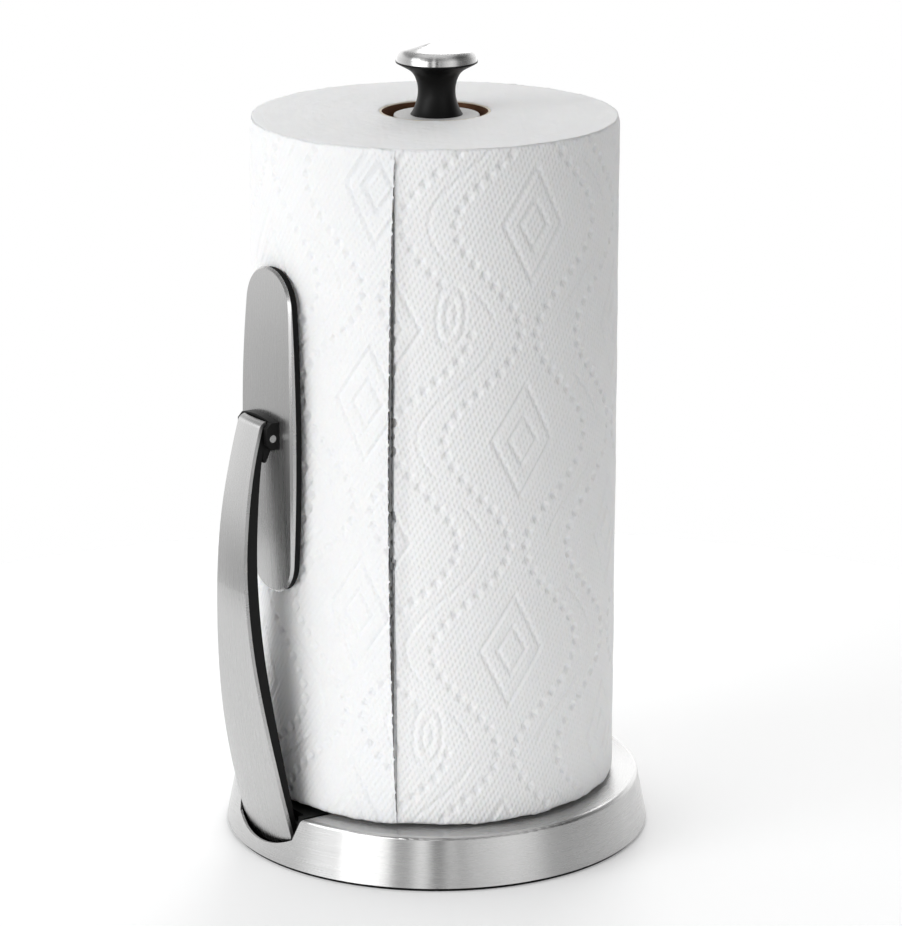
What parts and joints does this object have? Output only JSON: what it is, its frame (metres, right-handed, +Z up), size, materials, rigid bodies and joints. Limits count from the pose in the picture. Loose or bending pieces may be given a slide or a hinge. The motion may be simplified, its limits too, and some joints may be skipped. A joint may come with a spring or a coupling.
{
  "type": "paper towel holder",
  "caption": "Upright countertop paper towel holder: weighted round steel base, central post with a pull knob, and a sprung side arm whose long pad presses on the towel roll.",
  "frame": {"origin": "centre of the base's flat underside", "axes": "+Z up along the post; the arm and its pad stand on the -X side, in the plane Y = 0"},
  "size_m": [0.1881, 0.1772, 0.3302],
  "materials": {
    "brushed_steel": "satin",
    "hardware_steel": "satin",
    "cast_weight": "matte",
    "black_plastic": "satin",
    "black_rubber": "matte",
    "grey_plastic": "matte",
    "nylon": "satin",
    "cardboard": "matte",
    "towel_paper": "matte"
  },
  "bodies": {
    "base": {"base_shell": "brushed_steel", "base_weight": "cast_weight", "base_pan": "black_plastic", "base_foot_pad": "black_rubber", "pan_screws": "hardware_steel", "housing_screws": "hardware_steel", "hinge_housing": "black_plastic", "arm_pivot_pin": "hardware_steel", "torsion_spring": "hardware_steel", "post_foot": "black_plastic", "post_tube": "brushed_steel", "post_cap": "grey_plastic", "tie_rod": "hardware_steel", "tie_rod_nut": "hardware_steel", "tie_rod_washer": "hardware_steel", "knob_neck": "black_rubber", "knob_insert": "black_plastic", "knob_cap": "brushed_steel"},
    "arm": {"arm_cover": "brushed_steel", "arm_core": "black_plastic", "arm_bushings": "nylon"},
    "pad": {"pad_plate": "brushed_steel", "pad_carrier": "black_plastic", "pad_rubber": "black_rubber", "pad_bracket": "black_plastic", "bracket_screws": "hardware_steel", "pad_pin": "hardware_steel"},
    "roll_core": {"cardboard_core": "cardboard"},
    "towel_roll": {"paper_roll": "towel_paper", "outer_sheet": "towel_paper"}
  },
  "joints": [
    {"name": "arm_swing", "type": "hinge", "parent": "base", "child": "arm", "pos_m": [-0.0752, 0, 0.012], "axis": [0, -1, 0], "range_deg": [0, 8], "stiffness_Nm_per_rad": 1.2, "springref_deg": -34.38, "deforming": ["torsion_spring"]},
    {"name": "pad_tilt", "type": "hinge", "parent": "arm", "child": "pad", "pos_m": [-0.0852, 0, 0.1803], "axis": [0, -1, 0], "range_deg": [-8, 0]},
    {"name": "roll_lift", "type": "slide", "parent": "base", "child": "roll_core", "axis": [0, 0, 1], "range_m": [0, 0.315]},
    {"name": "roll_spin", "type": "hinge", "parent": "roll_core", "child": "towel_roll", "pos_m": [-0.0008, 0, 0.162], "axis": [0, 0, 1], "continuous": true}
  ],
  "couplings": [
    {"joint": "pad_tilt", "follows": "arm_swing", "ratio": -1}
  ]
}
